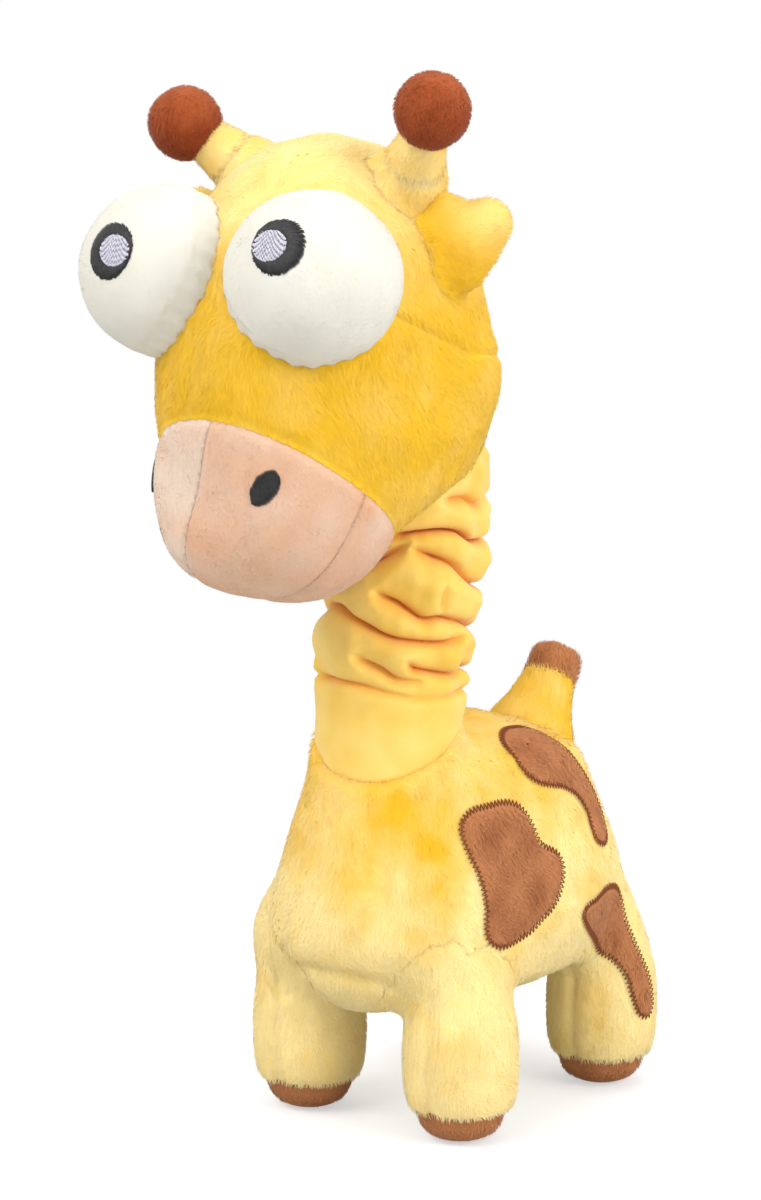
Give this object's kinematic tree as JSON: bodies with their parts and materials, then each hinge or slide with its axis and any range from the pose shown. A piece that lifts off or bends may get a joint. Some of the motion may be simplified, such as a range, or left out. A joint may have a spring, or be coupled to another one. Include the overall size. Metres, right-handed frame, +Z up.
{
  "type": "plush giraffe",
  "caption": "Standing plush giraffe with a big round head, bulging eyes and a gathered elastic neck that stretches, turns and nods.",
  "frame": {"origin": "centre of the bounding box on the ground under the four feet", "axes": "+Z up, the toy faces -Y, +X is the toy's left side"},
  "size_m": [0.126, 0.2016, 0.3381],
  "materials": {
    "yellow_plush": "short plush pile",
    "neck_cloth": "smooth velour, gathered",
    "brown_plush": "short plush pile",
    "spot_plush": "short plush pile with a stitched edge",
    "eye_cloth": "velour",
    "peach_cloth": "velour",
    "black_thread": "satin-stitch embroidery",
    "pale_thread": "satin-stitch embroidery",
    "stuffing": "loose polyester fibre",
    "elastic": "braided elastic cord",
    "washer": "moulded"
  },
  "bodies": {
    "torso": {"torso_cover": "yellow_plush", "torso_stuffing": "stuffing", "leg_front_left": "yellow_plush", "leg_front_right": "yellow_plush", "leg_rear_left": "yellow_plush", "leg_rear_right": "yellow_plush", "foot_front_left": "brown_plush", "foot_front_right": "brown_plush", "foot_rear_left": "brown_plush", "foot_rear_right": "brown_plush", "spot_flank_left": "spot_plush", "spot_flank_right": "spot_plush", "spot_back_left": "spot_plush", "spot_back_right": "spot_plush", "spot_hip_left": "spot_plush", "spot_hip_right": "spot_plush", "neck_sleeve": "neck_cloth", "neck_elastic": "elastic", "elastic_knot_lower": "elastic", "elastic_washer_lower": "washer"},
    "neck_top": {"elastic_washer_upper": "washer"},
    "head_swivel": {"elastic_knot_upper": "elastic"},
    "head": {"head_cover": "yellow_plush", "head_stuffing": "stuffing", "muzzle_cheek_left": "peach_cloth", "muzzle_cheek_right": "peach_cloth", "muzzle_chin": "peach_cloth", "eye_left": "eye_cloth", "eye_right": "eye_cloth", "pupil_left": "black_thread", "pupil_right": "black_thread", "pupil_highlight_left": "pale_thread", "pupil_highlight_right": "pale_thread", "nostril_left": "black_thread", "nostril_right": "black_thread"},
    "horn_left": {"horn_stem_left": "yellow_plush", "horn_ball_left": "brown_plush"},
    "horn_right": {"horn_stem_right": "yellow_plush", "horn_ball_right": "brown_plush"},
    "ear_left": {"ear_left": "yellow_plush"},
    "ear_right": {"ear_right": "yellow_plush"},
    "tail": {"tail": "yellow_plush", "tail_tip": "spot_plush"}
  },
  "joints": [
    {"name": "neck_stretch", "type": "slide", "parent": "torso", "child": "neck_top", "axis": [0, 0.0872, 0.9962], "range_m": [0, 0.08], "stiffness_N_per_m": 40, "deforming": ["neck_sleeve", "neck_elastic"]},
    {"name": "head_turn", "type": "hinge", "parent": "neck_top", "child": "head_swivel", "pos_m": [0, 0.00597, 0.2208], "axis": [0, 0.0872, 0.9962], "range_deg": [-60, 60], "stiffness_Nm_per_rad": 0.5},
    {"name": "head_nod", "type": "hinge", "parent": "head_swivel", "child": "head", "pos_m": [0, 0.00597, 0.2208], "axis": [1, 0, 0], "range_deg": [-20, 20], "stiffness_Nm_per_rad": 1.5, "springref_deg": -4.93},
    {"name": "horn_left_flop", "type": "hinge", "parent": "head", "child": "horn_left", "pos_m": [0.03358, -0.03469, 0.3082], "axis": [0.5643, 0.8256, 0], "range_deg": [-15, 20], "stiffness_Nm_per_rad": 0.05},
    {"name": "horn_right_flop", "type": "hinge", "parent": "head", "child": "horn_right", "pos_m": [-0.03358, -0.03469, 0.3082], "axis": [0.5698, -0.8218, 0], "range_deg": [-15, 20], "stiffness_Nm_per_rad": 0.05},
    {"name": "ear_left_flop", "type": "hinge", "parent": "head", "child": "ear_left", "pos_m": [0.04569, -0.02836, 0.28459], "axis": [-0.309, 0, 0.9511], "range_deg": [-15, 15], "stiffness_Nm_per_rad": 0.03},
    {"name": "ear_right_flop", "type": "hinge", "parent": "head", "child": "ear_right", "pos_m": [-0.04569, -0.02836, 0.28459], "axis": [-0.309, 0, -0.9511], "range_deg": [-15, 15], "stiffness_Nm_per_rad": 0.03},
    {"name": "tail_flop", "type": "hinge", "parent": "torso", "child": "tail", "pos_m": [0, 0.08093, 0.12098], "axis": [1, 0, 0], "range_deg": [-20, 20], "stiffness_Nm_per_rad": 0.04}
  ]
}
